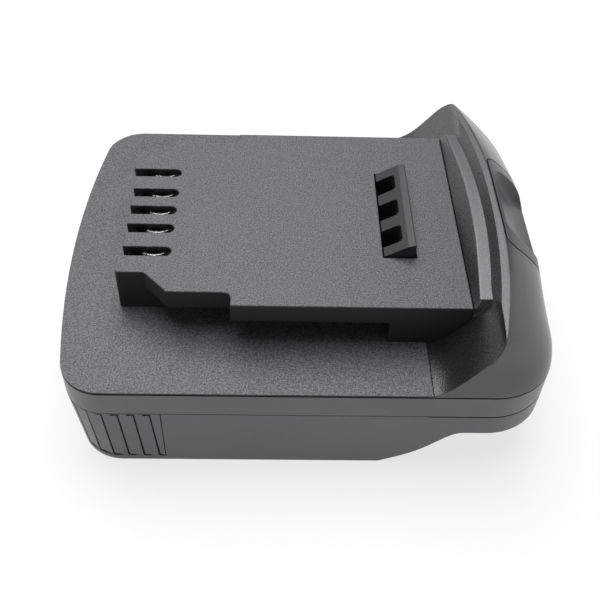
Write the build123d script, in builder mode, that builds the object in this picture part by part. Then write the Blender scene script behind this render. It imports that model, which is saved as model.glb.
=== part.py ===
from build123d import *
import os
from math import atan2, cos, pi, sin, sqrt

os.makedirs("parts", exist_ok=True)

# A slide-on battery adapter: a tool slides on to the rail on top, a donor battery slides into the
# channel below. Millimetres, +Z up, X along the slide direction, origin at the middle of the base.

# Body
length = 93.8
width = 76.0
seam_height = 15.15
deck_rise = 6.0
wall = 2.3
left_bow_radius = 200.0
left_corner_radius = 8.0
right_bow_radius = 300.0
right_corner_radius = 12.0
base_draft = 0.1
base_lean = 1.3
base_corner_gain = 0.7
base_edge_round = 0.4

# Fits and overruns
fit_gap = 0.1
slide_gap = 0.2
moving_gap = 0.3
thread_gap = 0.05
overrun = 2.0

# Seams round the body
deck_lip = 0.3
seam_reveal = 0.35
seam_depth = 0.8
fine_seam = 0.15
coarse_seam = 0.3
lower_seam_depth = 0.5

# Rail plateau on the deck
plateau_setback = 12.08
plateau_height = 9.42
outer_land_reach = 0.66
outer_land_round = 0.5
nose_half_width = 17.38
nose_length = 4.67
shoulder_step = 4.83
shoulder_start = 9.22
shoulder_length = 11.61
flange_step = 3.25
flange_thickness = 4.07
solid_side_length = 14.6
step_round = 1.3
plateau_round = 0.25
plateau_skin = 2.4
thin_skin = 1.25
deck_thickness = 2.2

# Contact slots
slot_width = 2.32
outer_slot_inset = 5.67
inner_slot_share = 0.4543
slot_reach = 9.22
slot_floor = 0.6

# Latch opening in the plateau
latch_inset = 8.92
latch_opening_length = 6.31
latch_side_margin = 4.86
guide_wall = 1.2

# Hump at the release end
hump_length = 24.54
hump_reach = 17.24
crest_rise = 5.13
slope_run = 11.15
slope_rise = 12.85
slope_run_shares = (0.0, 0.325, 0.525, 0.734, 0.891, 0.954, 1.0)
slope_rise_shares = (0.0, 0.186, 0.389, 0.626, 0.801, 0.879, 1.0)
slope_wall = 3.4
hump_level_shares = (0.0, 0.35, 0.62, 0.75, 0.9, 1.0)
end_lean = 10.2
end_lean_shares = (0.0, 0.118, 0.277, 0.449, 0.696, 1.0)
hump_bow_radii = (300.0, 200.0, 99.0, 91.0, 84.0, 77.0)
hump_corner_radii = (12.0, 14.5, 12.5, 10.1, 7.1, 5.0)
corner_inset_share = 0.3
side_lean = 0.65
hump_side_round = 5.0
crest_arch_radius = 267.0

# Ledge and risers between plateau and crest
ledge_rise = 2.78
ledge_setback = 2.55
ledge_bow_radius = 312.0
ledge_end_lean = 1.1
ledge_round = 0.4
riser_setback = 3.46
riser_bow_radius = 180.0
crest_setback = 6.0
crest_bow_radius = 355.0
crest_ridge = 1.2

# Release button
button_half_width = 13.0
button_height = 9.8
button_gap = 0.35
button_round = 2.0
button_depth = 4.1
button_skirt_reach = 4.4
button_skirt_spread = 0.8
button_skirt_overlap = 3.0
scoop_radius = 14.6
scoop_round = 3.3
scoop_margin = 2.8
scoop_reach = 5.0
scoop_rise = 3.3

# Latch
latch_travel = 3.5
hook_rise = 2.95
hook_cap = 1.45
hook_cap_fall = 0.35
hook_cap_round = 0.25
hook_base = 22.0
hook_flange_reach = 1.5
hook_flange_height = 2.8
hook_windows = 3
hook_rib = 3.1
hook_end_rib = 2.4
hook_window_length = 3.45
hook_window_depth = 4.6
hook_window_round = 0.8
arm_inset = 3.8
arm_thickness = 3.0
post_thickness = 2.6
post_half_width = 7.5
post_top = 27.6

# Latch springs
spring_radius = 2.7
spring_bore = 1.9
spring_inset = 5.1
spring_peg_radius = 1.6
spring_peg_height = 2.2

# Donor battery channel
channel_height = 10.0
channel_side = 9.0
rail_lip = 3.5
rail_height = 3.4
channel_wall = 2.2
channel_setback = 6.8
ceiling = 2.4
ramp_start = 33.1
ramp_length = 14.4
ramp_run_shares = (0.0, 0.38, 0.69, 1.0)
ramp_rise_shares = (0.0, 0.26, 0.59, 0.97)
side_pocket_end = 2.0
end_pocket_margin = 3.0
pocket_setback = 34.4
pocket_length = 8.0
pocket_half_width = 12.0
pocket_depth = 3.6
pocket_wall = 1.4

# Grip panels near the closed end
grip_setback = 20.5
grip_first = 1.95
grip_pitch = 2.9
grip_pitches = 5
grip_slant = 0.8
grip_depth = 0.12
grip_margin = 0.6
grip_bottom = 1.5
grip_top_margin = 0.3
grip_line_width = 0.32
grip_line_depth = 0.8
grip_edge_width = 0.16
grip_mark_length = 1.3
grip_high_mark = 0.5
grip_low_mark = 0.3

# Clips, carrier and contact board
clip_centre = 5.75
clip_height = 11.7
clip_leaf = 0.4
clip_pinch = 0.2
clip_bend_radius = 3.4
clip_bend_half_length = 1.9
clip_tail = 3.9
clip_spread = 1.45
clip_base = 0.5
clip_base_length = 1.6
carrier_length = 9.6
carrier_end = 0.8
chamber_width = 3.9
board_gap = 1.45
board_thickness = 1.6
board_length = 13.9
board_half_width = 21.5
board_screw_setback = 7.0
board_screw_offset = 19.4
board_boss_radius = 2.3

# Terminal block and blades
block_length = 9.0
block_half_width = 14.0
block_bottom = 3.7
block_flange = 1.2
block_flange_reach = 1.0
blade_names = ("positive", "signal_1", "signal_2", "negative")
blade_pitch = 6.6
blade_thickness = 0.8
blade_bottom = 5.3
blade_top = 9.3
blade_reach = 9.5
blade_root = 4.6
blade_tip = 0.8
tail_length = 2.4
tail_top = 15.5

# Leads between blade tails and contact board
power_lead_radius = 0.95
signal_lead_radius = 0.6
lead_height = 14.65
lead_low = 13.5
lead_first_run = 4.3
lead_drop_run = 2.6
lead_last_run = 4.0
lead_shift = 1.5
lead_bend = 2.2
lead_rise_bend = 1.2

# Screws
case_screw_left = 12.2
case_screw_right = 38.6
case_screw_side = 5.1
case_screw_radius = 1.45
case_screw_length = 13.2
case_screw_head_radius = 2.7
case_screw_head = 2.0
case_boss_radius = 3.3
case_counterbore = 6.5
tab_height = 2.3
shroud_screw_inset = 8.4
shroud_screw_side = 11.0
shroud_screw_length = 14.0
shroud_counterbore = 2.2
board_screw_radius = 1.0
board_screw_length = 4.0
board_screw_head_radius = 1.9
board_screw_head = 1.1
drive_share = 0.42
drive_depth_share = 0.5
head_round_share = 0.33

# Places worked out from the sizes above
x_left = -length / 2
x_right = length / 2
half_width = width / 2
deck_height = seam_height + deck_rise
plateau_left = x_left + plateau_setback
plateau_right = x_right - hump_reach
plateau_top = deck_height + plateau_height
crest_height = plateau_top + crest_rise
ledge_height = plateau_top + ledge_rise
flange_bottom = plateau_top - flange_thickness
shoulder_half_width = nose_half_width + shoulder_step
flange_half_width = shoulder_half_width + flange_step
undercut_end = plateau_right - solid_side_length
crease = x_right - hump_length
hump_root = crease - hump_reach
frame_top = deck_height - deck_lip - seam_reveal
deck_underside = deck_height - deck_thickness
ceiling_top = channel_height + ceiling
latch_right = plateau_right - latch_inset
latch_left = latch_right - latch_opening_length
latch_middle = (latch_left + latch_right) / 2
hook_left = latch_left + slide_gap
hook_right = latch_right - moving_gap
latch_half_width = nose_half_width - latch_side_margin
hook_half_width = latch_half_width - slide_gap
hook_rib_room = 2 * hook_end_rib + (hook_windows - 1) * hook_rib
hook_window_width = (2 * hook_half_width - hook_rib_room) / hook_windows
arm_half_width = hook_half_width - arm_inset
spring_offset = hook_half_width - spring_inset
hook_top = plateau_top + hook_rise
button_front = plateau_right + crest_setback + crest_ridge
button_left = button_front + button_gap
button_low = crest_height - button_height
scoop_half_length = button_half_width - scoop_margin
window_low = button_low - latch_travel - moving_gap
skirt_low = button_low - button_skirt_reach
clip_x = plateau_left + clip_centre
carrier_left = clip_x - carrier_length / 2
carrier_right = clip_x + carrier_length / 2
carrier_half_width = nose_half_width - wall - fit_gap
board_top = deck_underside - board_gap
board_bottom = board_top - board_thickness
board_left = carrier_left
channel_left = x_left + channel_setback
channel_half_width = half_width - channel_side
rail_gap_half_width = channel_half_width - rail_lip
end_pocket_half_width = channel_half_width - end_pocket_margin
case_screw_offset = half_width - case_screw_side
shroud_screw_offset = half_width - shroud_screw_side
block_left = channel_left + fit_gap
block_right = block_left + block_length
tail_left = block_right - blade_root
tail_right = tail_left + tail_length
ramp_left = x_right - ramp_start
pocket_right = x_right - pocket_setback
screw_columns = (x_left + case_screw_left, x_right - case_screw_right)
screw_rows = (-case_screw_offset, case_screw_offset)
outer_slot_offset = nose_half_width - outer_slot_inset
inner_slot_offset = outer_slot_offset * inner_slot_share
slot_rows = (-outer_slot_offset, -inner_slot_offset, 0.0, inner_slot_offset, outer_slot_offset)
blade_rows = [blade_pitch * (i - (len(blade_names) - 1) / 2) for i in range(len(blade_names))]
case_screw_places = [(x, y) for x in screw_columns for y in screw_rows]
shroud_screw_places = [
    (x_right - shroud_screw_inset, y) for y in (-shroud_screw_offset, shroud_screw_offset)
]
board_screw_places = [
    (board_left + board_screw_setback, y) for y in (-board_screw_offset, board_screw_offset)
]
spring_places = [(latch_middle, -spring_offset), (latch_middle, spring_offset)]


# Plan outlines


def rounded_end(x_end, half, corner, bow, side):
    """Points of one end: side tangent, corner middle, bow tangent, apex, for the +Y half."""
    bow_centre = x_end - side * bow
    reach = sqrt((bow - corner) ** 2 - (half - corner) ** 2)
    centre = (bow_centre + side * reach, half - corner)
    turn = atan2(centre[1], reach)
    middle = (turn + pi / 2) / 2
    tangent_side = (centre[0], half)
    tangent_bow = (bow_centre + side * bow * cos(turn), bow * sin(turn))
    corner_mid = (centre[0] + side * corner * cos(middle), centre[1] + corner * sin(middle))
    return tangent_side, corner_mid, tangent_bow, (x_end, 0)


def flip(point):
    """The same point on the -Y half."""
    return (point[0], -point[1])


def body_face(height, inset=0.0, lean=0.0, gain=0.0):
    """Plan outline of the whole body at a height, moved inwards by inset."""
    l_side, l_mid, l_bow, l_apex = rounded_end(
        x_left + inset + lean, half_width - inset, left_corner_radius - inset / 2 + gain,
        left_bow_radius, -1,
    )
    r_side, r_mid, r_bow, r_apex = rounded_end(
        x_right - inset, half_width - inset, right_corner_radius - inset / 2, right_bow_radius, 1
    )
    with BuildSketch(Plane.XY.offset(height)) as face:
        with BuildLine():
            ThreePointArc(flip(l_bow), l_apex, l_bow)
            ThreePointArc(l_bow, l_mid, l_side)
            Line(l_side, r_side)
            ThreePointArc(r_side, r_mid, r_bow)
            ThreePointArc(r_bow, r_apex, flip(r_bow))
            ThreePointArc(flip(r_bow), flip(r_mid), flip(r_side))
            Line(flip(r_side), flip(l_side))
            ThreePointArc(flip(l_side), flip(l_mid), flip(l_bow))
        make_face()
    return face.sketch


def end_face(height, start, x_end, half, corner, bow):
    """Plan outline of the release end alone, cut straight across at start."""
    r_side, r_mid, r_bow, r_apex = rounded_end(x_end, half, corner, bow, 1)
    with BuildSketch(Plane.XY.offset(height)) as face:
        with BuildLine():
            Line((start, -half), (start, half))
            Line((start, half), r_side)
            ThreePointArc(r_side, r_mid, r_bow)
            ThreePointArc(r_bow, r_apex, flip(r_bow))
            ThreePointArc(flip(r_bow), flip(r_mid), flip(r_side))
            Line(flip(r_side), (start, -half))
        make_face()
    return face.sketch


def seam_end_face(height, start, inset):
    """Outline of the release end at the deck seam, moved inwards by inset."""
    return end_face(
        height, start, x_right - inset, half_width - inset,
        right_corner_radius - inset / 2, right_bow_radius,
    )


def box_face(height, x_low, x_high, y_low, y_high):
    """A plain rectangle in plan, given by its edges."""
    with BuildSketch(Plane.XY.offset(height)) as face:
        with Locations(((x_low + x_high) / 2, (y_low + y_high) / 2)):
            Rectangle(x_high - x_low, y_high - y_low)
    return face.sketch


def disc_face(height, centres, radius):
    """Equal discs in plan at the given centres."""
    with BuildSketch(Plane.XY.offset(height)) as face:
        with Locations(*centres):
            Circle(radius)
    return face.sketch


def add_box(x_low, x_high, y_low, y_high, z_low, z_high):
    """Add a box to the part being built."""
    extrude(box_face(z_low, x_low, x_high, y_low, y_high), amount=z_high - z_low)


def cut_box(x_low, x_high, y_low, y_high, z_low, z_high):
    """Take a box out of the part being built."""
    extrude(box_face(z_low, x_low, x_high, y_low, y_high), amount=z_high - z_low, mode=Mode.SUBTRACT)


def add_posts(centres, radius, z_low, z_high):
    """Add round posts to the part being built."""
    extrude(disc_face(z_low, centres, radius), amount=z_high - z_low)


def cut_holes(centres, radius, z_low, z_high):
    """Take round holes out of the part being built."""
    extrude(disc_face(z_low, centres, radius), amount=z_high - z_low, mode=Mode.SUBTRACT)


# Hump shape


def hump_section(inset):
    """End view of the hump: leaning sides, round shoulders and an arched top."""
    base = deck_height - deck_lip
    radius = crest_arch_radius
    low_half = half_width - inset
    half = low_half - side_lean
    top = crest_height - inset
    shoulder = top - radius + sqrt(radius ** 2 - half ** 2)
    with BuildSketch(Plane.YZ.offset(hump_root - overrun)) as section:
        with BuildLine():
            Polyline((-half, shoulder), (-low_half, base), (low_half, base), (half, shoulder))
            ThreePointArc((half, shoulder), (0, top), (-half, shoulder))
        make_face()
        shoulders = section.vertices().group_by(Axis.Y)[-1]
        fillet(shoulders, hump_side_round - inset * corner_inset_share)
    return section.sketch


def hump_solid(inset):
    """The whole rounded end block, with its surfaces moved inwards by inset."""
    base = deck_height - deck_lip
    rise = crest_height - inset - base
    sections = []
    for level, lean, bow, corner in zip(
        hump_level_shares, end_lean_shares, hump_bow_radii, hump_corner_radii
    ):
        sections.append(
            end_face(
                base + rise * level, hump_root, x_right - inset - end_lean * lean,
                half_width - inset, corner - inset * corner_inset_share, bow,
            )
        )
    with BuildPart() as block:
        loft(sections)
        extrude(hump_section(inset), amount=x_right - hump_root + 2 * overrun, mode=Mode.INTERSECT)
    return block.part


def slope_cut(shift):
    """What lies on the plateau side of the inner slope, moved along X by shift."""
    start = crease + shift
    rise = [
        (start + slope_run * run, deck_height + slope_rise * climb)
        for run, climb in zip(slope_run_shares, slope_rise_shares)
    ]
    top = rise[-1]
    roof = crest_height + overrun
    far = start - hump_length - 2 * slope_run
    with BuildPart() as cut:
        with BuildSketch(Plane.XZ.offset(half_width + overrun)) as profile:
            with BuildLine():
                bend = Spline(*rise)
                climb = bend % 1
                brow = (top[0] + climb.X * (roof - top[1]) / climb.Y, roof)
                Polyline(top, brow, (far, roof), (far, deck_height), rise[0])
            make_face()
        extrude(profile.sketch, amount=-width - 2 * overrun)
    return cut.part


def bowed_face(height, apex, half, bow=0.0):
    """Everything on the plateau side of a line, in plan; the line is straight without a bow."""
    edge = apex - bow + sqrt(bow ** 2 - half ** 2) if bow else apex
    far = crease - overrun
    with BuildSketch(Plane.XY.offset(height)) as face:
        with BuildLine():
            if bow:
                ThreePointArc((edge, -half), (apex, 0), (edge, half))
            else:
                Line((edge, -half), (edge, half))
            Polyline((edge, half), (far, half), (far, -half), (edge, -half))
        make_face()
    return face.sketch


# Rear shroud


def shroud_cavity():
    """The hollow inside the shroud, open below and towards the plateau."""
    inner = wall + fit_gap + wall
    lip_top = deck_height - deck_lip
    with BuildPart() as cavity:
        add(hump_solid(wall))
        extrude(seam_end_face(deck_underside - overrun, crease, inner),
                amount=lip_top - deck_underside + overrun)
        add(slope_cut(slope_wall), mode=Mode.SUBTRACT)
        cut_box(hump_root - overrun, crease + slope_wall, -half_width, half_width,
                deck_underside - 2 * overrun, deck_height + overrun)
        cut_box(crease, button_front, -flange_half_width, flange_half_width,
                plateau_top - plateau_skin, crest_height + overrun)
        add_box(plateau_right - overrun, button_front + wall,
                -flange_half_width + wall, flange_half_width - wall,
                deck_underside - overrun, plateau_top - plateau_skin)
        skirt_room = button_half_width + button_skirt_spread + 2 * moving_gap
        add_box(button_front, x_right - wall - fit_gap, -skirt_room, skirt_room,
                deck_underside - overrun, lip_top)
    return cavity.part


def shroud_bosses():
    """Two screw bosses that hang from the shroud's roof."""
    with BuildPart() as bosses:
        add_posts(shroud_screw_places, case_boss_radius, deck_height - deck_lip, crest_height)
        add(hump_solid(wall / 2), mode=Mode.INTERSECT)
        add_posts(shroud_screw_places, case_boss_radius, deck_underside, deck_height)
    return bosses.part


def riser_face(height):
    """Plateau side of the upper riser in plan, less bowed towards the crest."""
    share = (height - plateau_top) / (crest_height - plateau_top)
    apex = plateau_right + riser_setback + (crest_setback - riser_setback) * share
    bow = 1 / ((1 - share) / riser_bow_radius + share / crest_bow_radius)
    return bowed_face(height, apex, half_width, bow)


def ledge_block():
    """The step between plateau and upper riser: arched top, bowed front, leaning ends."""
    half = flange_half_width - fit_gap
    top_half = half - ledge_end_lean
    front = plateau_right + fit_gap
    back = plateau_right + crest_setback
    with BuildPart() as block:
        loft([box_face(plateau_top, front - overrun, back, -half, half),
              box_face(ledge_height, front - overrun, back, -top_half, top_half)])
        with BuildSketch(Plane.YZ.offset(front - 2 * overrun)) as arch:
            with Locations((0, ledge_height - crest_arch_radius)):
                Circle(crest_arch_radius)
        extrude(arch.sketch, amount=crest_setback + 3 * overrun, mode=Mode.INTERSECT)
        loft([
            bowed_face(plateau_top, front, half_width),
            bowed_face(ledge_height, plateau_right + ledge_setback, half_width, ledge_bow_radius),
        ], ruled=True, mode=Mode.SUBTRACT)
        top = block.faces().sort_by(Axis.Z)[-1]
        riser = block.faces().sort_by(Axis.X)[0]
        rims = [edge for edge in top.edges() + riser.edges()
                if edge.center().Z > plateau_top + ledge_round
                and edge.center().X < back - ledge_round]
        fillet(rims, ledge_round)
        add_box(front, back, -half, half, deck_height, plateau_top)
    return block.part


def make_rear_shroud():
    shroud_start = crease + fit_gap
    side = flange_half_width + fit_gap
    roof = crest_height + overrun
    with BuildPart() as rear_shroud:
        add(hump_solid(0.0))
        add(slope_cut(0.0), mode=Mode.SUBTRACT)
        loft([riser_face(plateau_top), riser_face(roof)], ruled=True, mode=Mode.SUBTRACT)
        add(ledge_block())
        extrude(seam_end_face(frame_top, shroud_start, seam_depth), amount=deck_lip + seam_reveal)
        extrude(seam_end_face(deck_underside, shroud_start, wall + fit_gap), amount=deck_thickness)
        cut_box(hump_root - overrun, shroud_start, -half_width, half_width,
                deck_underside - overrun, roof)
        cut_box(crease, plateau_right + fit_gap, -side, side, deck_underside - overrun, roof)
        add(shroud_cavity(), mode=Mode.SUBTRACT)
        add(shroud_bosses())
        extrude(button_outline(window_low, button_gap), amount=roof - window_low,
                mode=Mode.SUBTRACT)
        cut_holes(shroud_screw_places, case_screw_radius + thread_gap, deck_underside,
                  channel_height + shroud_counterbore + shroud_screw_length + moving_gap)
    rear_shroud.part.label = "rear_shroud"
    return rear_shroud.part


# Release button


def button_outline(height, gap):
    """The button in plan, open outwards, with round inner corners, grown by a gap."""
    left = button_left - gap
    right = x_right + overrun
    with BuildSketch(Plane.XY.offset(height)) as face:
        with Locations(((left + right) / 2, 0)):
            Rectangle(right - left, 2 * (button_half_width + gap))
        fillet(face.vertices().group_by(Axis.X)[0], button_round + gap)
    return face.sketch


def button_face():
    """The visible block of the button, cut from the same hump surface."""
    with BuildPart() as face_block:
        add(hump_solid(0.0))
        extrude(button_outline(button_low, 0.0), amount=button_height, mode=Mode.INTERSECT)
    return face_block.part


def button_skirt():
    """A curtain behind the shroud wall that closes the window when the button is up."""
    skirt_top = button_low + button_skirt_overlap
    skirt_half = button_half_width + button_skirt_spread
    with BuildPart() as skirt_block:
        add(hump_solid(wall + moving_gap))
        add(Solid.extrude(
            box_face(skirt_low, button_left, x_right, -skirt_half, skirt_half).face(),
            Vector(0, 0, skirt_top - skirt_low),
        ), mode=Mode.INTERSECT)
    return skirt_block.part


def scoop_cutter():
    """A round-ended roller that presses the finger scoop into the button."""
    height = crest_height + scoop_rise
    centre = x_right + scoop_reach
    with BuildPart() as cutter:
        with BuildSketch(Plane.XY.offset(height)) as half_section:
            with Locations((centre - scoop_radius / 2, 0)):
                Rectangle(scoop_radius, 2 * scoop_half_length)
            fillet(half_section.vertices().group_by(Axis.X)[0], scoop_round)
        revolve(half_section.sketch, axis=Axis((centre, 0, height), (0, 1, 0)))
    return cutter.part


def make_release_button():
    with BuildPart() as release_button:
        add(button_face())
        add(button_skirt())
        add(hump_solid(button_depth), mode=Mode.SUBTRACT)
        cut_box(button_left, x_right - button_depth, -half_width, half_width,
                skirt_low - overrun, deck_height)
        add(scoop_cutter(), mode=Mode.SUBTRACT)
        add_box(button_front, x_right - button_depth, -post_half_width, post_half_width,
                post_top - 2 * post_thickness, post_top)
    release_button.part.label = "release_button"
    return release_button.part


# Top cover


def flange_face(height):
    """Stepped outline of the rail plateau."""
    step = plateau_left + shoulder_start + shoulder_length
    upper = [
        (plateau_left, nose_half_width),
        (plateau_left + nose_length, nose_half_width),
        (plateau_left + shoulder_start, shoulder_half_width),
        (step, shoulder_half_width),
        (step, flange_half_width),
        (plateau_right, flange_half_width),
    ]
    lower = [flip(point) for point in reversed(upper)]
    with BuildSketch(Plane.XY.offset(height)) as face:
        with BuildLine():
            Polyline(*upper, *lower, close=True)
        make_face()
        inner = [v for v in face.vertices()
                 if abs(v.X - step) < thread_gap and abs(abs(v.Y) - shoulder_half_width) < thread_gap]
        fillet(inner, step_round)
    return face.sketch


def outer_land_face(height):
    """The two lands beside the outermost slots, which stand proud of the nose."""
    low = outer_slot_offset + slot_width / 2
    depth = 2 * outer_land_reach
    with BuildSketch(Plane.XY.offset(height)) as face:
        with Locations(*[
            (plateau_left - outer_land_reach + depth / 2, side * (low + nose_half_width) / 2)
            for side in (-1, 1)
        ]):
            Rectangle(depth, nose_half_width - low)
        fillet(face.vertices().group_by(Axis.X)[0], outer_land_round)
    return face.sketch


def slot_face(height, half_gap, x_low, x_end):
    """The five contact slots in plan, with round ends."""
    with BuildSketch(Plane.XY.offset(height)) as face:
        with Locations(*[((x_low + x_end - half_gap) / 2, y) for y in slot_rows]):
            Rectangle(x_end - half_gap - x_low, 2 * half_gap)
        with Locations(*[(x_end - half_gap, y) for y in slot_rows]):
            Circle(half_gap)
    return face.sketch


def cover_bosses(inner):
    """Four screw bosses under the deck, kept clear of the frame wall."""
    low = seam_height + tab_height
    with BuildPart() as bosses:
        add_posts(case_screw_places, case_boss_radius, low, deck_underside)
        extrude(body_face(low, inner), amount=deck_underside - low, mode=Mode.INTERSECT)
    return bosses.part


def make_top_cover():
    inner = wall + fit_gap
    lip_top = deck_height - deck_lip
    core_half = nose_half_width - wall
    guide_low = hook_base + hook_flange_height + moving_gap
    guide_half = latch_half_width + guide_wall
    with BuildPart() as top_cover:
        extrude(body_face(deck_underside, inner), amount=deck_thickness)
        extrude(body_face(frame_top, seam_depth), amount=deck_lip + seam_reveal)
        extrude(body_face(lip_top), amount=deck_lip)
        cut_box(crease, x_right + overrun, -half_width - overrun, half_width + overrun,
                deck_underside - overrun, deck_height + overrun)
        add_box(plateau_left, plateau_right, -nose_half_width, nose_half_width,
                deck_underside, plateau_top)
        add_box(undercut_end, plateau_right, -flange_half_width, flange_half_width,
                deck_underside, plateau_top)
        extrude(flange_face(flange_bottom), amount=flange_thickness)
        extrude(outer_land_face(deck_height), amount=plateau_height)
        cut_box(carrier_left - fit_gap, plateau_right + overrun, -core_half, core_half,
                deck_underside - overrun, plateau_top - plateau_skin)
        cut_box(carrier_left - fit_gap, carrier_right + fit_gap, -core_half, core_half,
                deck_underside, plateau_top - thin_skin)
        cut_box(undercut_end + wall, plateau_right + overrun, -flange_half_width + wall,
                flange_half_width - wall, deck_underside - overrun, plateau_top - plateau_skin)
        add_box(latch_left - guide_wall, latch_right + guide_wall, -guide_half, guide_half,
                guide_low, plateau_top)
        cut_box(latch_left, latch_right, -latch_half_width, latch_half_width,
                guide_low - overrun, plateau_top + overrun)
        extrude(slot_face(deck_height + slot_floor, slot_width / 2, plateau_left - overrun,
                          plateau_left + slot_reach), amount=plateau_height, mode=Mode.SUBTRACT)
        fillet(top_cover.faces().sort_by(Axis.Z)[-1].edges(), plateau_round)
        add(cover_bosses(inner))
        cut_holes(case_screw_places, case_screw_radius + thread_gap, seam_height,
                  case_counterbore + case_screw_length + moving_gap)
        add_posts(board_screw_places, board_boss_radius, board_top, deck_underside)
        cut_holes(board_screw_places, board_screw_radius + thread_gap, board_top,
                  board_bottom + board_screw_length + slide_gap)
    top_cover.part.label = "top_cover"
    return top_cover.part


# Middle frame


def make_middle_frame():
    inner_edge = half_width - wall
    with BuildPart() as middle_frame:
        extrude(body_face(seam_height), amount=frame_top - seam_height)
        extrude(body_face(seam_height, wall), amount=frame_top - seam_height, mode=Mode.SUBTRACT)
        for x, y in case_screw_places:
            side = 1 if y > 0 else -1
            rows = sorted((y, side * (inner_edge + wall / 2)))
            add_box(x - case_boss_radius, x + case_boss_radius, rows[0], rows[1],
                    seam_height, seam_height + tab_height)
        add_posts(case_screw_places, case_boss_radius, seam_height, seam_height + tab_height)
        cut_holes(case_screw_places, case_screw_radius + slide_gap, seam_height - overrun,
                  seam_height + tab_height + overrun)
    middle_frame.part.label = "middle_frame"
    return middle_frame.part


# Lower housing


def ramp_cut():
    """What is missing under the raised shelf at the release end."""
    floor = -overrun
    foot = [
        (ramp_left + ramp_length * run, channel_height * rise)
        for run, rise in zip(ramp_run_shares, ramp_rise_shares)
    ]
    far = x_right + overrun
    with BuildPart() as cut:
        with BuildSketch(Plane.XZ.offset(half_width + overrun)) as profile:
            with BuildLine():
                shelf = (foot[-1][0] + overrun, channel_height)
                Spline(*foot, shelf, tangents=((foot[1][0] - ramp_left, foot[1][1]), (1, 0)))
                Polyline(shelf, (far, channel_height), (far, floor), (ramp_left, floor), foot[0])
            make_face()
        extrude(profile.sketch, amount=-width - 2 * overrun)
    return cut.part


def seam_groove(height, gap, x_low, x_high):
    """A shallow groove round the outside, below a height, over a stretch of the length."""
    with BuildPart() as groove:
        extrude(body_face(height - gap), amount=gap)
        extrude(body_face(height - gap, lower_seam_depth), amount=gap, mode=Mode.SUBTRACT)
        reach = half_width + overrun
        extrude(box_face(height - gap, x_low, x_high, -reach, reach), amount=gap,
                mode=Mode.INTERSECT)
    return groove.part


def grip_station(distance, height):
    """Point and outward normal on the body side, this far along from the middle of the body."""
    share = 1 - height / seam_height
    corner = left_corner_radius + base_corner_gain * share
    half = half_width - base_draft * share
    tangent = rounded_end(x_left + base_lean * share, half, corner, left_bow_radius, -1)[0]
    x = x_left + grip_setback - distance
    if x >= tangent[0]:
        return (x, half), (0.0, 1.0)
    angle = (tangent[0] - x) / corner
    normal = (-sin(angle), cos(angle))
    return (tangent[0] + corner * normal[0], half - corner + corner * normal[1]), normal


def inward(distance, height, depth, side):
    """A place on the chosen side, moved into the body by depth."""
    (x, y), (nx, ny) = grip_station(distance, height)
    return (x - nx * depth, side * (y - ny * depth))


def grip_cut(side, low, high, low_depths, high_depths, z_low, z_high):
    """Solid between two stretches of the side, each with its own depth at both ends."""
    sections = []
    for (near, far), (near_depth, far_depth), height in (
        (low, low_depths, z_low),
        (high, high_depths, z_high),
    ):
        with BuildSketch(Plane.XY.offset(height)) as face:
            with BuildLine():
                Polyline(
                    inward(far, height, -grip_margin, side),
                    inward(near, height, -grip_margin, side),
                    inward(near, height, near_depth, side), inward(far, height, far_depth, side),
                    close=True,
                )
            make_face()
        sections.append(face.sketch)
    with BuildPart() as cut:
        loft(sections, ruled=True)
    return cut.part


def grip_cuts(side):
    """Slightly twisted slats, the grooves between them and the short marks at the grooves' ends."""
    top = seam_height - grip_top_margin
    lines = [0.0] + [grip_first + grip_pitch * i for i in range(grip_pitches + 1)]
    low_lines = [0.0] + [distance - grip_slant for distance in lines[1:]]
    half = grip_line_width / 2
    even = (grip_line_depth, grip_line_depth)
    cuts = []
    for i in range(len(lines) - 1):
        cuts.append(grip_cut(
            side, (low_lines[i], low_lines[i + 1]), (lines[i], lines[i + 1]),
            (0.0, grip_depth), (grip_depth, 0.0), grip_bottom, top,
        ))
    for low, high in zip(low_lines[1:], lines[1:]):
        cuts.append(grip_cut(side, (low - half, low + half), (high - half, high + half),
                             even, even, grip_bottom, top))
        over = (high - half, high + grip_mark_length)
        under = (low - grip_mark_length, low + half)
        cuts.append(grip_cut(side, over, over, even, even, top - grip_high_mark, top))
        cuts.append(grip_cut(side, under, under, even, even, grip_bottom,
                             grip_bottom + grip_low_mark))
    rim = (-grip_edge_width / 2, grip_edge_width / 2)
    cuts.append(grip_cut(side, rim, rim, even, even, grip_bottom, top))
    return cuts


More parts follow.
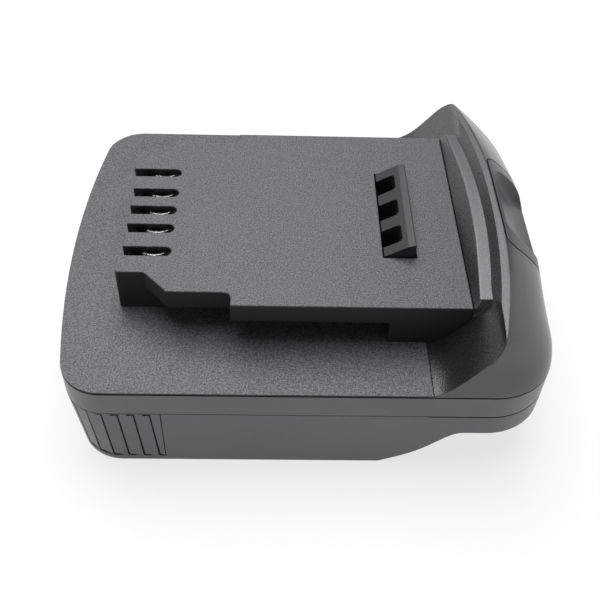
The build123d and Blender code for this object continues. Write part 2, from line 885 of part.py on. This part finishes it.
def make_lower_housing():
    pocket_outer = half_width - base_draft - wall
    pocket_inner = channel_half_width + channel_wall
    pocket_left = pocket_right - pocket_length
    block_edge = block_half_width + fit_gap
    with BuildPart() as lower_housing:
        loft([body_face(0.0, base_draft, base_lean, base_corner_gain), body_face(seam_height)],
             ruled=True)
        fillet(lower_housing.faces().sort_by(Axis.Z)[0].edges(), base_edge_round)
        add(ramp_cut(), mode=Mode.SUBTRACT)
        for side in (-1, 1):
            add(grip_cuts(side), mode=Mode.SUBTRACT)
        extrude(body_face(ceiling_top, wall), amount=seam_height, mode=Mode.SUBTRACT)
        for side in (-1, 1):
            rows = sorted((side * pocket_inner, side * pocket_outer))
            cut_box(channel_left, ramp_left - side_pocket_end, rows[0], rows[1],
                    wall, seam_height)
        cut_box(x_left + base_lean + wall, channel_left - channel_wall, -end_pocket_half_width,
                end_pocket_half_width, wall, seam_height)
        cut_box(channel_left, x_right + overrun, -channel_half_width, channel_half_width,
                rail_height, channel_height)
        cut_box(channel_left, x_right + overrun, -rail_gap_half_width, rail_gap_half_width,
                -overrun, channel_height)
        cut_box(channel_left, block_right + fit_gap, -block_edge, block_edge,
                rail_height, seam_height)
        add_box(pocket_left - pocket_wall, pocket_right + pocket_wall,
                -pocket_half_width - pocket_wall, pocket_half_width + pocket_wall,
                channel_height, channel_height + pocket_depth + pocket_wall)
        cut_box(pocket_left, pocket_right, -pocket_half_width, pocket_half_width,
                channel_height - overrun, channel_height + pocket_depth)
        add_posts(case_screw_places, case_boss_radius, wall, seam_height)
        cut_holes(case_screw_places, case_screw_head_radius + slide_gap, -overrun, case_counterbore)
        cut_holes(case_screw_places, case_screw_radius + slide_gap, -overrun, seam_height + overrun)
        add_posts(shroud_screw_places, case_boss_radius, channel_height, deck_underside)
        cut_holes(shroud_screw_places, case_screw_head_radius + slide_gap,
                  channel_height - overrun, channel_height + shroud_counterbore)
        cut_holes(shroud_screw_places, case_screw_radius + slide_gap,
                  channel_height - overrun, deck_underside + overrun)
        add_posts(spring_places, spring_peg_radius, ceiling_top, ceiling_top + spring_peg_height)
        add(seam_groove(seam_height, fine_seam, x_left - overrun, crease), mode=Mode.SUBTRACT)
        add(seam_groove(seam_height, coarse_seam, crease, x_right + overrun), mode=Mode.SUBTRACT)
    lower_housing.part.label = "lower_housing"
    return lower_housing.part


# Latch


def make_latch_hook():
    shoulder = (hook_right - hook_cap, hook_top - hook_cap_fall)
    flange_half = hook_half_width + hook_flange_reach
    with BuildPart() as latch_hook:
        with BuildSketch(Plane.XZ.offset(hook_half_width)) as profile:
            with BuildLine():
                Polyline((hook_left, hook_base), (hook_left, plateau_top), shoulder,
                         (hook_right, hook_top), (hook_right, hook_base), close=True)
            make_face()
            fillet(profile.vertices().sort_by(Axis.Y)[-1], hook_cap_round)
        extrude(profile.sketch, amount=-2 * hook_half_width)
        with BuildSketch(Plane.XY.offset(plateau_top - hook_window_depth)) as windows:
            with Locations((hook_left, 0)):
                with GridLocations(hook_window_length, hook_window_width + hook_rib, 1, hook_windows):
                    Rectangle(2 * hook_window_length, hook_window_width)
            fillet(windows.vertices().group_by(Axis.X)[-1], hook_window_round)
        extrude(windows.sketch, amount=hook_window_depth + hook_rise, mode=Mode.SUBTRACT)
        add_box(hook_left - hook_flange_reach, hook_right + hook_flange_reach,
                -flange_half, flange_half, hook_base, hook_base + hook_flange_height)
        add_box(hook_right, button_front, -arm_half_width, arm_half_width,
                hook_base, hook_base + arm_thickness)
        add_box(button_front - post_thickness, button_front, -post_half_width, post_half_width,
                hook_base, post_top)
        add_posts(spring_places, spring_peg_radius, hook_base - spring_peg_height, hook_base)
    latch_hook.part.label = "latch_hook"
    return latch_hook.part


def make_latch_spring(index, place):
    with BuildPart() as latch_spring:
        add_posts([place], spring_radius, ceiling_top, hook_base)
        cut_holes([place], spring_bore, ceiling_top, hook_base)
    latch_spring.part.label = f"latch_spring_{index + 1}"
    return latch_spring.part


# Contact clips and what holds them


def clip_leaf_line(side):
    """Middle line of one spring leaf in plan: flared mouth, pinch, then a straight tail."""
    start = -clip_bend_half_length
    lift = clip_bend_radius - sqrt(clip_bend_radius ** 2 - clip_bend_half_length ** 2)
    pinch = clip_pinch + clip_leaf / 2
    tail_x = clip_tail - clip_base_length
    return [
        (clip_x + start, side * (pinch + lift)),
        (clip_x, side * pinch),
        (clip_x - start, side * (pinch + lift)),
        (clip_x + tail_x, side * clip_spread),
        (clip_x + clip_tail, side * clip_spread),
    ]


def make_contact_clip(index, row):
    with BuildPart() as contact_clip:
        for side in (-1, 1):
            mouth, pinch, bend_end, knee, tail = clip_leaf_line(side)
            with BuildSketch(Plane.XY.offset(board_top)) as leaf:
                with BuildLine() as middle:
                    ThreePointArc(mouth, pinch, bend_end)
                    Polyline(bend_end, knee, tail)
                trace(middle.line, clip_leaf)
            moved = leaf.sketch.moved(Location((0, row, 0)))
            extrude(moved, amount=clip_height)
        half = clip_spread + clip_leaf / 2
        add_box(clip_x + clip_tail - clip_base_length, clip_x + clip_tail,
                row - half, row + half, board_top, board_top + clip_base)
    contact_clip.part.label = f"contact_clip_{index + 1}"
    return contact_clip.part


def make_clip_carrier():
    top = plateau_top - thin_skin - fit_gap
    chamber_left = carrier_left + carrier_end
    chamber_right = carrier_right - carrier_end / 2
    with BuildPart() as clip_carrier:
        add_box(carrier_left, carrier_right, -carrier_half_width, carrier_half_width,
                board_top, top)
        for row in slot_rows:
            cut_box(chamber_left, chamber_right, row - chamber_width / 2, row + chamber_width / 2,
                    board_top - overrun, top + overrun)
            cut_box(carrier_left - overrun, chamber_left, row - slot_width / 2,
                    row + slot_width / 2, deck_height + slot_floor, top + overrun)
    clip_carrier.part.label = "clip_carrier"
    return clip_carrier.part


def make_contact_board():
    with BuildPart() as contact_board:
        add_box(board_left, board_left + board_length, -board_half_width, board_half_width,
                board_bottom, board_top)
        cut_holes(board_screw_places, board_screw_radius + slide_gap,
                  board_bottom - overrun, board_top + overrun)
    contact_board.part.label = "contact_board"
    return contact_board.part


# Donor side terminals


def blade_profile(gap):
    """Side outline of one blade: a flat tongue with a solder tail standing on its root."""
    tip = block_right + blade_reach
    return [
        (tail_left - gap, blade_bottom - gap),
        (tip - blade_tip, blade_bottom - gap),
        (tip, blade_bottom + blade_tip),
        (tip, blade_top - blade_tip),
        (tip - blade_tip, blade_top + gap),
        (tail_right + gap, blade_top + gap),
        (tail_right + gap, tail_top),
        (tail_left - gap, tail_top),
    ]


def make_blade(name, row):
    with BuildPart() as blade:
        with BuildSketch(Plane.XZ.offset(blade_thickness / 2 - row)) as profile:
            with BuildLine():
                Polyline(*blade_profile(0.0), close=True)
            make_face()
        extrude(profile.sketch, amount=-blade_thickness)
    blade.part.label = f"blade_{name}"
    return blade.part


def make_terminal_block():
    flange_left = block_left - block_flange_reach
    flange_right = block_right + block_flange_reach
    flange_half = block_half_width + block_flange_reach
    gap = thread_gap
    with BuildPart() as terminal_block:
        add_box(block_left, block_right, -block_half_width, block_half_width,
                block_bottom, ceiling_top + block_flange)
        add_box(flange_left, flange_right, -flange_half, flange_half,
                ceiling_top, ceiling_top + block_flange)
        for row in blade_rows:
            with BuildSketch(Plane.XZ.offset(blade_thickness / 2 + gap - row)) as slit:
                with BuildLine():
                    Polyline(*blade_profile(gap), close=True)
                make_face()
            extrude(slit.sketch, amount=-blade_thickness - 2 * gap, mode=Mode.SUBTRACT)
    terminal_block.part.label = "terminal_block"
    return terminal_block.part


def make_lead(name, row):
    radius = power_lead_radius if name in ("positive", "negative") else signal_lead_radius
    shift = lead_shift if row > 0 else -lead_shift
    x_drop = tail_right + lead_first_run
    x_low = x_drop + lead_drop_run
    x_rise = x_low + lead_last_run
    with BuildPart() as lead:
        with BuildLine() as route:
            FilletPolyline(
                (tail_right, row, lead_height),
                (x_drop, row, lead_height),
                (x_low, row + shift, lead_low),
                (x_rise, row + shift, lead_low),
                (x_rise, row + shift, board_bottom),
                radius=[lead_bend, lead_bend, lead_rise_bend],
            )
        with BuildSketch(Plane(origin=route.line @ 0, z_dir=route.line % 0)) as section:
            Circle(radius)
        sweep(section.sketch, path=route.line)
    lead.part.label = f"lead_{name}"
    return lead.part


# Screws


def make_screws(label, places, bearing, shank_length, shank, head_radius, head):
    """Pan-head screws driven upwards, heads below the bearing height."""
    drive = head_radius * drive_share
    with BuildPart() as screws:
        add_posts(places, shank, bearing - head / 2, bearing + shank_length)
        add_posts(places, head_radius, bearing - head, bearing)
        rims = screws.edges().filter_by(GeomType.CIRCLE).group_by(Axis.Z)[0]
        fillet(rims, head * head_round_share)
        with BuildSketch(Plane.XY.offset(bearing - head)) as recess:
            with Locations(*places):
                RegularPolygon(drive, 6)
        extrude(recess.sketch, amount=head * drive_depth_share, mode=Mode.SUBTRACT)
    screws.part.label = label
    return screws.part


# Build and write every piece

pieces = [
    make_lower_housing(),
    make_middle_frame(),
    make_top_cover(),
    make_rear_shroud(),
    make_latch_hook(),
    make_release_button(),
    make_clip_carrier(),
    make_contact_board(),
    make_terminal_block(),
    make_screws("case_screws", case_screw_places, case_counterbore, case_screw_length,
                case_screw_radius, case_screw_head_radius, case_screw_head),
    make_screws("shroud_screws", shroud_screw_places, channel_height + shroud_counterbore,
                shroud_screw_length, case_screw_radius, case_screw_head_radius, case_screw_head),
    make_screws("board_screws", board_screw_places, board_bottom, board_screw_length,
                board_screw_radius, board_screw_head_radius, board_screw_head),
]
for index, place in enumerate(spring_places):
    pieces.append(make_latch_spring(index, place))
for index, row in enumerate(slot_rows):
    pieces.append(make_contact_clip(index, row))
for name, row in zip(blade_names, blade_rows):
    pieces.append(make_blade(name, row))
    pieces.append(make_lead(name, row))

for piece in pieces:
    export_step(piece, f"parts/{piece.label}.step")
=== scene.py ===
from math import cos, pi, sin

import bpy
from mathutils import Matrix, Vector


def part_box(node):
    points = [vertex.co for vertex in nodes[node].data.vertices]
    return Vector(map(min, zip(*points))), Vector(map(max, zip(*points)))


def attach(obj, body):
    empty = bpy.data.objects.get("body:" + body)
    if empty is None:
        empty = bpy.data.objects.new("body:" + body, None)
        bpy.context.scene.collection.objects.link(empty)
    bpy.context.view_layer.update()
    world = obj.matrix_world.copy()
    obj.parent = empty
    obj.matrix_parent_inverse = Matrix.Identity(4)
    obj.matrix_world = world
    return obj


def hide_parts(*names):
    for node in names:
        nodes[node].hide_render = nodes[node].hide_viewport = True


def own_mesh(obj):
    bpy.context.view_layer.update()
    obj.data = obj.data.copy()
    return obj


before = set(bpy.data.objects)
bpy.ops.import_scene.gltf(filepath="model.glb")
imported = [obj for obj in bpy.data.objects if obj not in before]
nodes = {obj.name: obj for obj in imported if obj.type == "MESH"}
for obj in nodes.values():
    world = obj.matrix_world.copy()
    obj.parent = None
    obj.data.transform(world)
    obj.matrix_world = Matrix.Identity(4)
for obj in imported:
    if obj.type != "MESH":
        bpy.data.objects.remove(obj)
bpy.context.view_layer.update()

MM = 0.001
WHITE = (1.0, 1.0, 1.0, 1.0)

# Mould grain: grains per millimetre
GRAIN = 3.7

# The crest's outer edge lies where x + y * y / CREST_BOW is inside CREST_EDGE
CREST_BOW = 360 * MM
CREST_EDGE = (36.7 * MM, 37.3 * MM)

# Height, in millimetres, above which the shroud's level faces show pale grain, partly a painted
# sheen; lower grained faces get painted shade
CREST_SHADE_FOOT = 31.0

# Floor sheet: width in metres and share of plain white in what the camera sees
FLOOR_WIDTH = 6.0
FLOOR_WHITE = 0.72

# Room: white below the first height of the view direction, grey above the second
WALL_LOW = 0.14
WALL_HIGH = 0.42
WALL_GREY = (0.20, 0.20, 0.205, 1.0)

# Lamp over the part, in metres and watts
LAMP_PLACE = (-0.10, 0.30, 0.80)
LAMP_SIZE = (0.9, 0.95)
LAMP_POWER = 11.0

# Camera: place in millimetres, view and right-hand directions, focal length in pixels
EYE = (-6.213, -129.39, 142.92)
VIEW = (0.03071, 0.68430, -0.72855)
RIGHT = (0.99943, -0.01101, 0.03179)
FOCAL_PIXELS = 860.8
PICTURE_PIXELS = 600
SENSOR_WIDTH = 36.0


# Material helpers


def grey(colour):
    """A colour tuple with alpha; one number stands for a neutral grey."""
    if isinstance(colour, (int, float)):
        colour = (colour, colour, colour)
    return (*colour[:3], 1.0)


class Tree:
    """Short way to write a material's nodes."""

    def __init__(self, name):
        self.material = bpy.data.materials.new(name)
        self.material.use_nodes = True
        self.nodes = self.material.node_tree.nodes
        self.links = self.material.node_tree.links
        self.shader = self.nodes["Principled BSDF"]
        self.place = self.nodes.new("ShaderNodeTexCoord").outputs["Object"]
        self.surface = self.nodes.new("ShaderNodeNewGeometry")

    def link(self, a, b):
        self.links.new(a, b)

    def noise(self, scale, detail=2.0, rough=0.5, source=None, distortion=0.0):
        """Noise with scale in cycles per millimetre."""
        n = self.nodes.new("ShaderNodeTexNoise")
        n.inputs["Scale"].default_value = scale / MM
        n.inputs["Detail"].default_value = detail
        n.inputs["Roughness"].default_value = rough
        n.inputs["Distortion"].default_value = distortion
        self.link(source or self.place, n.inputs["Vector"])
        return n.outputs["Fac"]

    def cells(self, scale, randomness=1.0):
        """Cell pattern with scale in cells per millimetre."""
        n = self.nodes.new("ShaderNodeTexVoronoi")
        n.inputs["Scale"].default_value = scale / MM
        n.inputs["Randomness"].default_value = randomness
        self.link(self.place, n.inputs["Vector"])
        return n

    def ramp(self, value, stops):
        n = self.nodes.new("ShaderNodeValToRGB")
        ramp = n.color_ramp
        ramp.elements[0].position = stops[0][0]
        ramp.elements[0].color = grey(stops[0][1])
        ramp.elements[1].position = stops[-1][0]
        ramp.elements[1].color = grey(stops[-1][1])
        for position, colour in stops[1:-1]:
            ramp.elements.new(position).color = grey(colour)
        self.link(value, n.inputs["Fac"])
        return n.outputs["Color"]

    def math(self, kind, a, b):
        n = self.nodes.new("ShaderNodeMath")
        n.operation = kind
        for socket, value in zip(n.inputs, (a, b)):
            if isinstance(value, (int, float)):
                socket.default_value = value
            else:
                self.link(value, socket)
        return n.outputs["Value"]

    def step(self, value, low, high):
        """0 below low, 1 above high, smooth between."""
        n = self.nodes.new("ShaderNodeMapRange")
        n.interpolation_type = "SMOOTHSTEP"
        n.inputs["From Min"].default_value = low
        n.inputs["From Max"].default_value = high
        self.link(value, n.inputs["Value"])
        return n.outputs["Result"]

    def split(self, vector):
        n = self.nodes.new("ShaderNodeSeparateXYZ")
        self.link(vector, n.inputs["Vector"])
        return n.outputs["X"], n.outputs["Y"], n.outputs["Z"]

    def mix(self, factor, a, b, kind="MIX"):
        n = self.nodes.new("ShaderNodeMix")
        n.data_type = "RGBA"
        n.blend_type = kind
        for socket, value in ((n.inputs[0], factor), (n.inputs[6], a), (n.inputs[7], b)):
            if isinstance(value, (int, float)):
                socket.default_value = value
            elif isinstance(value, tuple):
                socket.default_value = grey(value)
            else:
                self.link(value, socket)
        return n.outputs[2]

    def soft_edge(self, radius):
        """Normals that round every edge by a small radius in millimetres."""
        n = self.nodes.new("ShaderNodeBevel")
        n.samples = 4
        n.inputs["Radius"].default_value = radius * MM
        return n.outputs["Normal"]

    def bump(self, height, strength, distance, below=None):
        n = self.nodes.new("ShaderNodeBump")
        if isinstance(strength, (int, float)):
            n.inputs["Strength"].default_value = strength
        else:
            self.link(strength, n.inputs["Strength"])
        n.inputs["Distance"].default_value = distance * MM
        self.link(height, n.inputs["Height"])
        if below is not None:
            self.link(below, n.inputs["Normal"])
        return n.outputs["Normal"]

    def done(self, colour=None, rough=None, normal=None, metal=0.0, spec=0.5):
        s = self.shader.inputs
        for socket, value in (("Base Color", colour), ("Roughness", rough), ("Normal", normal)):
            if value is None:
                continue
            if isinstance(value, tuple):
                s[socket].default_value = grey(value)
            elif isinstance(value, (int, float)):
                s[socket].default_value = value
            else:
                self.link(value, s[socket])
        s["Metallic"].default_value = metal
        s["Specular IOR Level"].default_value = spec
        return self.material


def eroded(t, dark, light, cell):
    """Colour and height of a spark eroded mould face: pebbled grain with pale tips; the grain is
    real, the paleness of the tips is partly painted glint.
    """
    grain = t.noise(cell, 2.0, 0.5)
    fine = t.noise(cell * 1.9, 1.0, 0.5)
    cloud = t.noise(0.05, 3.0, 0.6)
    middle = tuple(d * 0.5 + l * 0.5 for d, l in zip(dark, light))
    speck = t.math("ADD", t.math("MULTIPLY", grain, 0.6), t.math("MULTIPLY", fine, 0.4))
    # Pale tips: real grain, with painted glint in their paleness
    grain_and_glint = t.ramp(speck, [(0.40, dark), (0.53, middle), (0.64, light)])
    drift = t.ramp(cloud, [(0.3, middle), (0.7, tuple(1.25 * m for m in middle))])
    colour = t.mix(0.15, grain_and_glint, drift)
    height = t.math("ADD", grain, t.math("MULTIPLY", fine, 0.4))
    return colour, height, grain


def smooth_face(t, dark, light, grain):
    """Colour and height of a fine matt mould face with faint flow clouds."""
    fine = t.noise(grain, 2.0, 0.55)
    cloud = t.noise(0.06, 4.0, 0.6, distortion=0.4)
    colour = t.mix(0.4, t.ramp(cloud, [(0.3, dark), (0.7, light)]),
                   t.ramp(fine, [(0.35, dark), (0.65, light)]))
    return colour, fine


def satin_plastic(name, dark, light, rough, grain=6.0, depth=0.010, spec=0.5, edge=0.18):
    """Fine matt moulded plastic with small scuffs and softened edges."""
    t = Tree(name)
    colour, fine = smooth_face(t, dark, light, grain)
    scuff = t.ramp(t.noise(0.35, 5.0, 0.7), [(0.45, 0.0), (0.75, 1.0)])
    roughness = t.math("ADD", t.math("MULTIPLY", scuff, 0.08), rough)
    return t.done(colour, roughness, t.bump(fine, 0.5, depth, t.soft_edge(edge)), spec=spec)


def two_face_plastic(name, coarse, smooth, cell, depth, mask, edge, slope_shade, spec=0.5, shade_foot=None):
    """A moulding with an eroded grain where mask is 1 and a matt face elsewhere.

    Grained faces that slope, or lie lower than the foot height, get painted shade: their grain
    colour is multiplied by the slope shade factor.
    """
    t = Tree(name)
    share = mask(t)
    c_colour, c_height, grain = eroded(t, coarse[0], coarse[1], cell)
    s_colour, s_height = smooth_face(t, smooth[0], smooth[1], 5.0)
    # Painted shade: grained faces that do not face up, or lie below the foot height, are darkened
    level = t.step(t.split(t.surface.outputs["Normal"])[2], 0.80, 0.94)
    if shade_foot is not None:
        above = t.step(t.split(t.place)[2], shade_foot * MM, (shade_foot + 1.0) * MM)
        level = t.math("MULTIPLY", level, above)
    painted_shade = t.mix(1.0, c_colour, (slope_shade, slope_shade, slope_shade), "MULTIPLY")
    c_colour = t.mix(level, painted_shade, c_colour)
    colour = t.mix(share, s_colour, c_colour)
    c_rough = t.math("ADD", t.math("MULTIPLY", grain, -0.30), coarse[2] + 0.15)
    extra = t.math("MULTIPLY", share, t.math("SUBTRACT", c_rough, smooth[2]))
    roughness = t.math("ADD", extra, smooth[2])
    low = t.bump(s_height, 0.4, 0.010, t.soft_edge(edge))
    normal = t.bump(c_height, t.math("MULTIPLY", share, 0.85), depth, low)
    return t.done(colour, roughness, normal, spec=spec)


def deck_grain_and_wall_shade_mask(t):
    """Grain on every face that looks up; the plateau's walls are smooth, and their near-black
    colour is painted shade.
    """
    return t.step(t.split(t.surface.outputs["Normal"])[2], 0.35, 0.6)


def shroud_mask(t):
    """Grain on the inner slope, risers, ledge and crest strip; matt face outside the crest."""
    nx, ny = t.split(t.surface.outputs["Normal"])[:2]
    x, y = t.split(t.place)[:2]
    bow = t.math("MULTIPLY", t.math("MULTIPLY", y, y), 1.0 / CREST_BOW)
    outside = t.step(t.math("ADD", x, bow), *CREST_EDGE)
    slope = t.math("SUBTRACT", 1.0, t.step(nx, 0.02, 0.2))
    flank = t.math("SUBTRACT", 1.0, t.step(t.math("ABSOLUTE", ny, 0.0), 0.35, 0.6))
    inner = t.step(t.math("MULTIPLY", nx, -1.0), 0.2, 0.45)
    inside = t.math("MAXIMUM", t.math("SUBTRACT", 1.0, outside), inner)
    return t.math("MULTIPLY", t.math("MULTIPLY", slope, flank), inside)


def plated_metal(name, dark, light, rough, edge=0.12, depth=0.006):
    """Bright plated strip with faint rolling marks."""
    t = Tree(name)
    stretch = t.nodes.new("ShaderNodeMapping")
    stretch.inputs["Scale"].default_value = (1.0, 1.0, 0.08)
    t.link(t.place, stretch.inputs["Vector"])
    lines = t.noise(9.0, 3.0, 0.6, source=stretch.outputs["Vector"])
    patch = t.noise(0.5, 3.0, 0.6)
    colour = t.mix(0.5, t.ramp(lines, [(0.3, dark), (0.7, light)]),
                   t.ramp(patch, [(0.3, dark), (0.7, light)]))
    roughness = t.math("ADD", t.math("MULTIPLY", lines, 0.12), rough)
    return t.done(colour, roughness, t.bump(lines, 0.3, depth, t.soft_edge(edge)), metal=1.0)


def board_material(name):
    """Green solder mask over a woven laminate."""
    t = Tree(name)
    weave = t.cells(1.6, 0.15).outputs["Distance"]
    colour = t.ramp(weave, [(0.1, (0.012, 0.075, 0.035)), (0.6, (0.02, 0.12, 0.055))])
    return t.done(colour, 0.32, t.bump(weave, 0.25, 0.02))


def lead_material(name, colour):
    """Soft silicone insulation with a slight bloom."""
    t = Tree(name)
    bloom = t.noise(0.8, 3.0, 0.6)
    dull = tuple(c * 0.8 + 0.02 for c in colour)
    return t.done(t.ramp(bloom, [(0.35, colour), (0.75, dull)]), 0.5,
                  t.bump(t.noise(5.0, 2.0, 0.5), 0.3, 0.01))


# Materials: dark and light colour, then roughness; depths and edges in millimetres

deck = two_face_plastic(
    "deck_texture",
    # The pale coarse colour is partly painted sheen on the grain
    coarse=((0.004, 0.004, 0.005), (0.150, 0.151, 0.160), 0.40),
    # Painted shade on the deck: the near-black smooth colour on the plateau's walls, and the
    # slant factor that darkens sloping grained faces
    smooth=((0.003, 0.003, 0.004), (0.005, 0.005, 0.006), 0.55),
    cell=GRAIN, depth=0.085, mask=deck_grain_and_wall_shade_mask, edge=0.12, slope_shade=0.8,
)
# Painted light on the shroud's grain: level grained faces get a pale grain colour that stands in
# for their sheen, and sloping or low grained faces are darkened to a seventh as painted shade
shroud = two_face_plastic(
    "shroud_texture",
    coarse=((0.010, 0.010, 0.012), (0.155, 0.156, 0.165), 0.28),
    smooth=((0.010, 0.010, 0.012), (0.016, 0.016, 0.018), 0.22),
    cell=GRAIN, depth=0.055, mask=shroud_mask, edge=0.22, slope_shade=0.14, spec=0.9, shade_foot=CREST_SHADE_FOOT,
)
housing = satin_plastic(
    "housing_satin", (0.062, 0.062, 0.066), (0.082, 0.082, 0.087), 0.36, spec=0.65,
)
band = satin_plastic(
    "band_satin", (0.062, 0.062, 0.065), (0.082, 0.082, 0.086), 0.34, spec=0.65,
)
button = satin_plastic(
    "button_satin", (0.032, 0.032, 0.035), (0.044, 0.044, 0.048), 0.36,
    grain=5.0, spec=0.7, edge=0.25,
)
latch = satin_plastic(
    "latch_satin", (0.010, 0.010, 0.012), (0.017, 0.017, 0.019), 0.42, grain=4.0, depth=0.012,
)
carrier = satin_plastic("carrier_plastic", (0.008, 0.008, 0.009), (0.014, 0.014, 0.015), 0.55)
block = satin_plastic("block_plastic", (0.022, 0.022, 0.024), (0.034, 0.034, 0.036), 0.5)
nickel = plated_metal("contact_nickel", (0.84, 0.83, 0.81), (0.98, 0.97, 0.95), 0.20,
                      edge=0.2, depth=0.0015)
blade = plated_metal("blade_nickel", (0.60, 0.58, 0.53), (0.80, 0.78, 0.73), 0.18)
steel = plated_metal("screw_steel", (0.16, 0.16, 0.17), (0.34, 0.34, 0.35), 0.28)
spring = plated_metal("spring_steel", (0.42, 0.42, 0.43), (0.60, 0.60, 0.61), 0.24)
board = board_material("board_laminate")

finish = {
    "top_cover": deck, "rear_shroud": shroud, "middle_frame": band, "lower_housing": housing,
    "release_button": button, "latch_hook": latch, "clip_carrier": carrier,
    "contact_board": board, "terminal_block": block, "case_screws": steel,
    "shroud_screws": steel, "board_screws": steel,
    "latch_spring_1": spring, "latch_spring_2": spring,
    "lead_positive": lead_material("lead_red", (0.42, 0.02, 0.02)),
    "lead_negative": lead_material("lead_black", (0.02, 0.02, 0.022)),
    "lead_signal_1": lead_material("lead_white", (0.62, 0.62, 0.60)),
    "lead_signal_2": lead_material("lead_yellow", (0.65, 0.45, 0.04)),
}
for name, node in nodes.items():
    if name.startswith("contact_clip"):
        material = nickel
    elif name.startswith("blade"):
        material = blade
    else:
        material = finish[name]
    node.data.materials.clear()
    node.data.materials.append(material)


# Coil springs under the latch


def coil_spring(name, node, turns=6.5, wire=0.4 * MM, sides=10, steps=30):
    """A closed-end coil spring that fills the space of its node; wire is the wire's radius.

    The wire climbs by half of its lap at each end, where the coils lie flat.
    """
    low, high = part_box(node)
    centre = ((low[0] + high[0]) / 2, (low[1] + high[1]) / 2)
    radius = (high[0] - low[0]) / 2 - wire
    bottom, top = low[2] + wire, high[2] - wire
    lap = 2 * wire * 0.9
    dead = 0.75 / turns
    count = int(turns * steps)
    verts = []
    faces = []
    for i in range(count + 1):
        share = i / count
        angle = 2 * pi * turns * share
        climb = min(max((share - dead) / (1 - 2 * dead), 0.0), 1.0)
        rise = bottom + lap / 2 * min(share / dead, 1.0)
        rise += (top - bottom - lap) * climb
        rise += lap / 2 * max((share - 1 + dead) / dead, 0.0)
        out = Vector((cos(angle), sin(angle), 0))
        middle = Vector((centre[0], centre[1], rise)) + out * radius
        for k in range(sides):
            a = 2 * pi * k / sides
            verts.append(middle + out * (wire * cos(a)) + Vector((0, 0, wire * sin(a))))
    for i in range(count):
        for k in range(sides):
            n = (k + 1) % sides
            faces.append((i * sides + k, i * sides + n, (i + 1) * sides + n, (i + 1) * sides + k))
    faces.append(tuple(range(sides)))
    faces.append(tuple(count * sides + k for k in reversed(range(sides))))
    mesh = bpy.data.meshes.new(name)
    mesh.from_pydata(verts, [], faces)
    mesh.polygons.foreach_set("use_smooth", [True] * len(mesh.polygons))
    mesh.update()
    piece = bpy.data.objects.new(name, mesh)
    bpy.context.collection.objects.link(piece)
    mesh.materials.append(spring)
    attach(piece, "case")
    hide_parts(node)
    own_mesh(piece)


for index in (1, 2):
    coil_spring(f"coil_spring_{index}", f"latch_spring_{index}")


# Floor: white paper that keeps the shadow

bpy.ops.mesh.primitive_grid_add(x_subdivisions=8, y_subdivisions=8, size=FLOOR_WIDTH)
floor = bpy.context.object
floor.name = "floor"
t = Tree("floor_paper")
mottle = t.noise(0.02, 2.0, 0.5)
paper = t.ramp(mottle, [(0.3, (0.91, 0.91, 0.91)), (0.7, (0.93, 0.93, 0.93))])
t.done(paper, 0.8, spec=0.1)
seen = t.nodes.new("ShaderNodeLightPath").outputs
backdrop = t.math("MAXIMUM", t.math("MAXIMUM", seen["Is Camera Ray"], seen["Is Glossy Ray"]),
                  seen["Is Transmission Ray"])
sheet = t.nodes.new("ShaderNodeEmission")
sheet.inputs["Color"].default_value = WHITE
sheet.inputs["Strength"].default_value = 1.0
cover = t.nodes.new("ShaderNodeMixShader")
t.link(t.math("MULTIPLY", backdrop, FLOOR_WHITE), cover.inputs["Fac"])
t.link(t.shader.outputs["BSDF"], cover.inputs[1])
t.link(sheet.outputs["Emission"], cover.inputs[2])
t.link(cover.outputs["Shader"], t.nodes["Material Output"].inputs["Surface"])
floor.data.materials.append(t.material)


# Room and lamp

world = bpy.data.worlds.new("studio")
bpy.context.scene.world = world
world.use_nodes = True
wn, wl = world.node_tree.nodes, world.node_tree.links
ground = wn["Background"]
around = wn.new("ShaderNodeTexCoord")
height = wn.new("ShaderNodeSeparateXYZ")
wl.new(around.outputs["Generated"], height.inputs["Vector"])
wall = wn.new("ShaderNodeValToRGB")
wall.color_ramp.elements[0].position = WALL_LOW
wall.color_ramp.elements[0].color = WHITE
wall.color_ramp.elements[1].position = WALL_HIGH
wall.color_ramp.elements[1].color = WALL_GREY
wl.new(height.outputs["Z"], wall.inputs["Fac"])
wl.new(wall.outputs["Color"], ground.inputs["Color"])
ground.inputs["Strength"].default_value = 1.0
white = wn.new("ShaderNodeBackground")
white.inputs["Color"].default_value = WHITE
white.inputs["Strength"].default_value = 1.0
rays = wn.new("ShaderNodeLightPath")
choose = wn.new("ShaderNodeMixShader")
wl.new(rays.outputs["Is Camera Ray"], choose.inputs["Fac"])
wl.new(ground.outputs["Background"], choose.inputs[1])
wl.new(white.outputs["Background"], choose.inputs[2])
wl.new(choose.outputs["Shader"], wn["World Output"].inputs["Surface"])

lamp = bpy.data.lights.new("top_box", "AREA")
lamp.shape = "RECTANGLE"
lamp.size, lamp.size_y = LAMP_SIZE
lamp.energy = LAMP_POWER
top_box = bpy.data.objects.new("top_box", lamp)
bpy.context.collection.objects.link(top_box)
top_box.location = LAMP_PLACE
top_box.rotation_euler = (-Vector(LAMP_PLACE)).to_track_quat("-Z", "Y").to_euler()


# Camera at the photograph's place

forward = Vector(VIEW).normalized()
right = Vector(RIGHT)
right = (right - forward * right.dot(forward)).normalized()
up = right.cross(forward)
turn = Matrix((right, up, -forward)).transposed().to_4x4()
eye = bpy.data.cameras.new("photo_camera")
eye.sensor_width = SENSOR_WIDTH
eye.lens = FOCAL_PIXELS / PICTURE_PIXELS * SENSOR_WIDTH
eye.dof.use_dof = False
eye.clip_start = 0.005
camera = bpy.data.objects.new("photo_camera", eye)
bpy.context.collection.objects.link(camera)
camera.matrix_world = Matrix.Translation(Vector(EYE) * MM) @ turn
bpy.context.scene.camera = camera

bpy.context.scene.view_settings.view_transform = "Standard"
